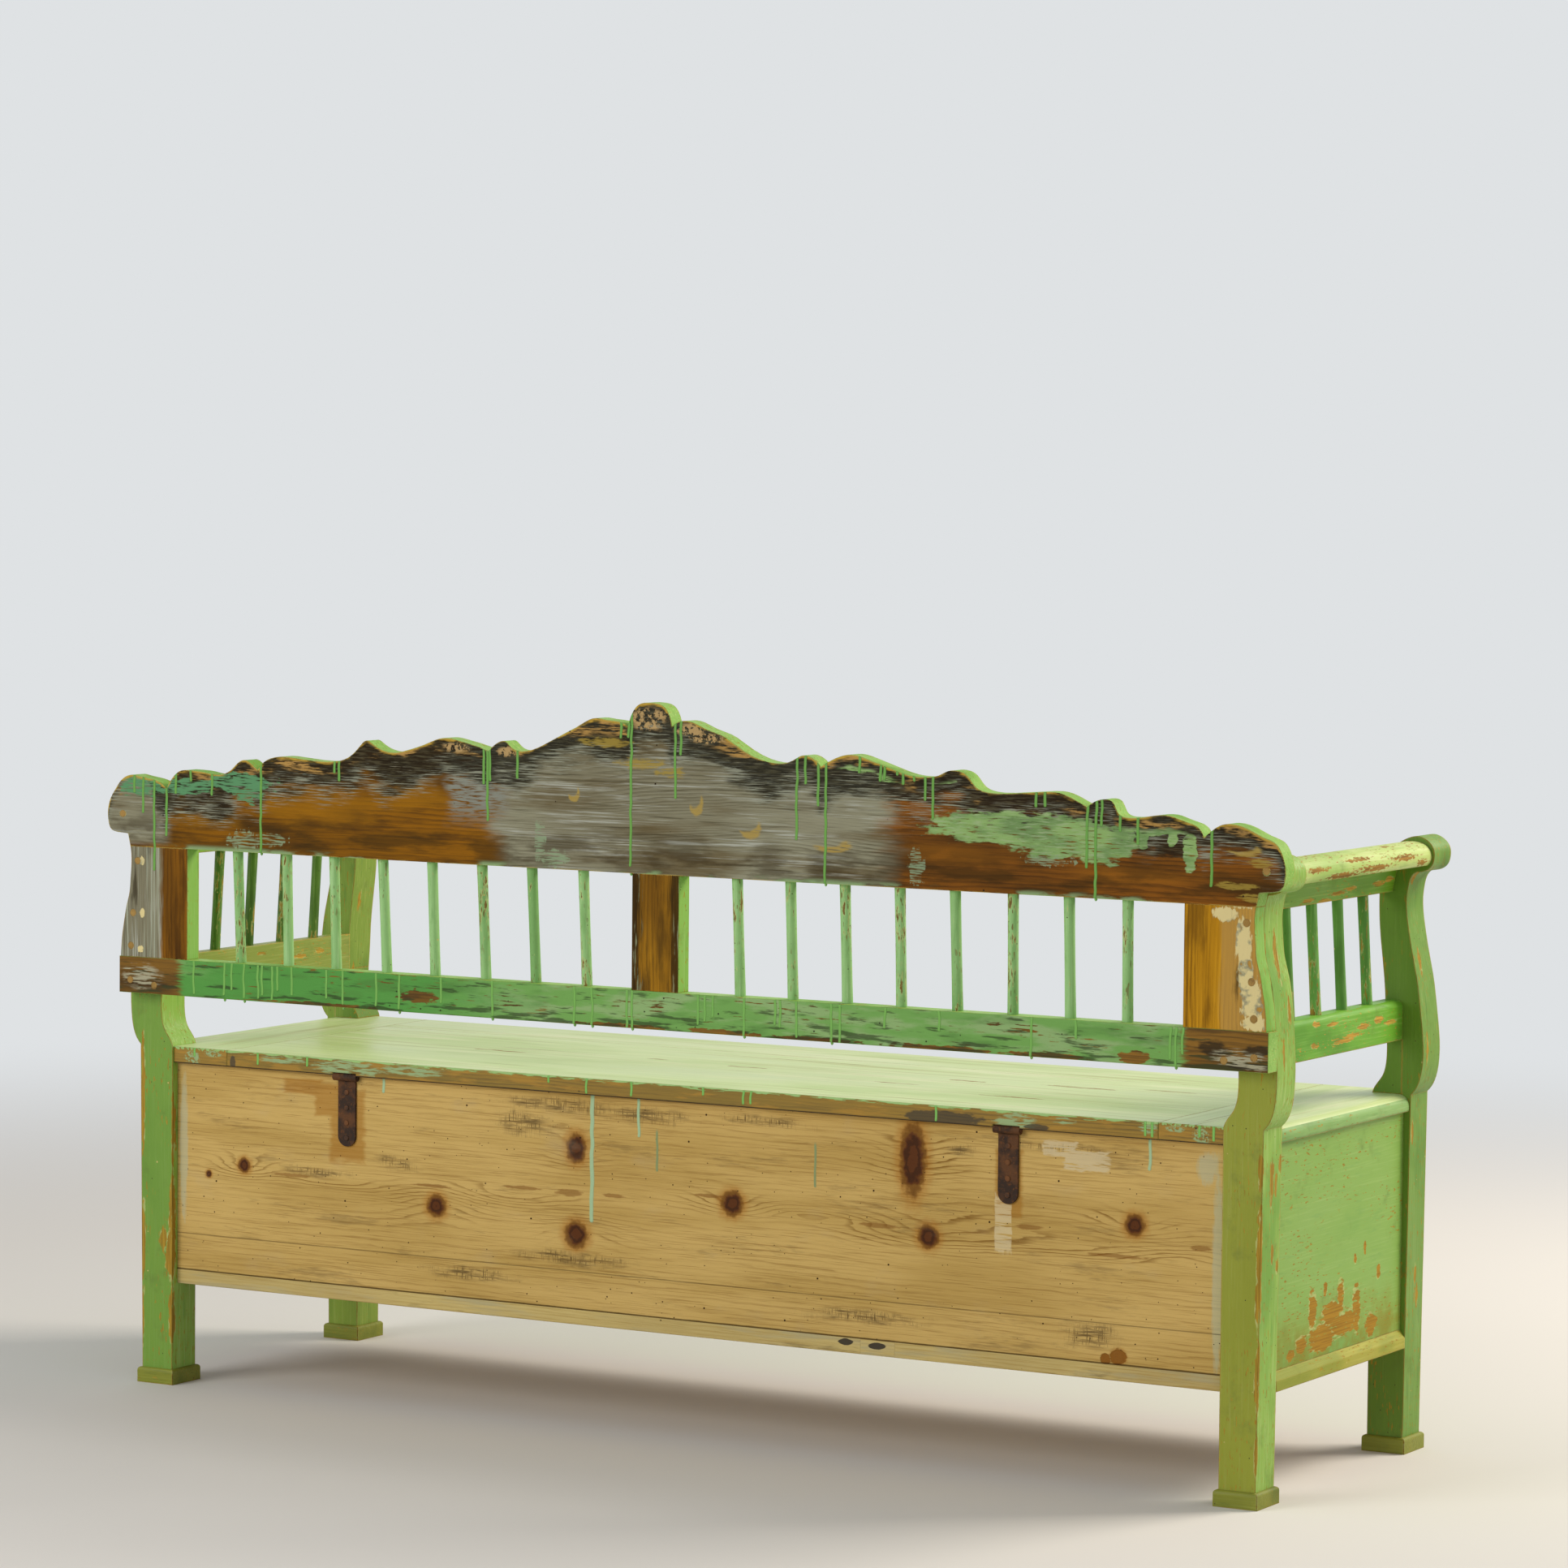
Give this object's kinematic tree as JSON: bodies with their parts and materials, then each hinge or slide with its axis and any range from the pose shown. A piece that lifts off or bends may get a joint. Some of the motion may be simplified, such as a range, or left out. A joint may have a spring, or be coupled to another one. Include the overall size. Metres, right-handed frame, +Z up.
{
  "type": "swedish pull out bench bed",
  "caption": "Settle with a scrolled back frame, spindle arms, a hinged seat lid over a box, and a bed that slides out to the front on folding props.",
  "frame": {"origin": "on the floor under the middle of the bench", "axes": "+Z up, the seat's front toward -Y, the length of the bench along X"},
  "size_m": [1.884, 0.566, 1.0245],
  "materials": {
    "frame_paint": "worn oil paint, pale green",
    "spindle_paint": "oil paint, mid green",
    "seat_paint": "worn oil paint, pale green",
    "crest_wood": "weathered pine with worn paint",
    "raw_pine": "unpainted aged pine",
    "inner_pine": "unpainted planed pine",
    "forged_iron": "rusty forged iron",
    "screw_steel": "dull brown steel"
  },
  "bodies": {
    "frame": {"back_bottom_rail": "frame_paint", "back_frame_pegs": "raw_pine", "box_back_board": "raw_pine", "box_back_lower_board": "raw_pine", "box_bottom_boards": "inner_pine", "box_bottom_cleats": "inner_pine", "centre_back_stile": "crest_wood", "crest_board": "crest_wood", "fixed_strap_screws": "screw_steel", "hinge_pins": "forged_iron", "left_arm_lower_rail": "frame_paint", "left_arm_roll": "frame_paint", "left_arm_spindles": "spindle_paint", "left_arm_upper_rail": "frame_paint", "left_back_spindles": "spindle_paint", "left_back_stile": "crest_wood", "left_bed_runner": "inner_pine", "left_end_panel": "frame_paint", "left_end_rail": "frame_paint", "left_front_foot_moulding": "frame_paint", "left_front_leg": "frame_paint", "left_front_post_cheek": "frame_paint", "left_hinge_fixed_strap": "forged_iron", "left_rear_foot_moulding": "frame_paint", "left_rear_leg": "frame_paint", "left_seat_end_board": "seat_paint", "rear_ledger_left": "raw_pine", "rear_ledger_patch": "raw_pine", "rear_ledger_right": "raw_pine", "right_arm_lower_rail": "frame_paint", "right_arm_roll": "frame_paint", "right_arm_spindles": "spindle_paint", "right_arm_upper_rail": "frame_paint", "right_back_spindles": "spindle_paint", "right_back_stile": "crest_wood", "right_bed_runner": "inner_pine", "right_end_panel": "frame_paint", "right_end_rail": "frame_paint", "right_front_foot_moulding": "frame_paint", "right_front_leg": "frame_paint", "right_front_post_cheek": "frame_paint", "right_hinge_fixed_strap": "forged_iron", "right_rear_foot_moulding": "frame_paint", "right_rear_leg": "frame_paint", "right_seat_end_board": "seat_paint"},
    "lid": {"lid_front_board": "seat_paint", "lid_rear_board": "seat_paint", "lid_cleats": "inner_pine", "left_hinge_lid_leaf": "forged_iron", "right_hinge_lid_leaf": "forged_iron", "lid_leaf_screws": "screw_steel"},
    "pull_out_bed": {"bed_front_board": "frame_paint", "left_bed_side": "inner_pine", "right_bed_side": "inner_pine", "bed_front_rail": "inner_pine", "bed_rear_rail": "inner_pine", "bed_bottom_boards": "inner_pine", "prop_leg_pins": "forged_iron"},
    "left_prop": {"left_prop_leg": "inner_pine"},
    "right_prop": {"right_prop_leg": "inner_pine"}
  },
  "joints": [
    {"name": "lid_hinge", "type": "hinge", "parent": "frame", "child": "lid", "pos_m": [0, 0.2472, 0.471], "axis": [-1, 0, 0], "range_deg": [0, 76]},
    {"name": "bed_slide", "type": "slide", "parent": "frame", "child": "pull_out_bed", "axis": [0, -1, 0], "range_m": [0, 0.45]},
    {"name": "left_prop_fold", "type": "hinge", "parent": "pull_out_bed", "child": "left_prop", "pos_m": [-0.76, -0.24, 0.161], "axis": [0, 1, 0], "range_deg": [0, 90]},
    {"name": "right_prop_fold", "type": "hinge", "parent": "pull_out_bed", "child": "right_prop", "pos_m": [0.76, -0.24, 0.161], "axis": [0, -1, 0], "range_deg": [0, 90]}
  ]
}
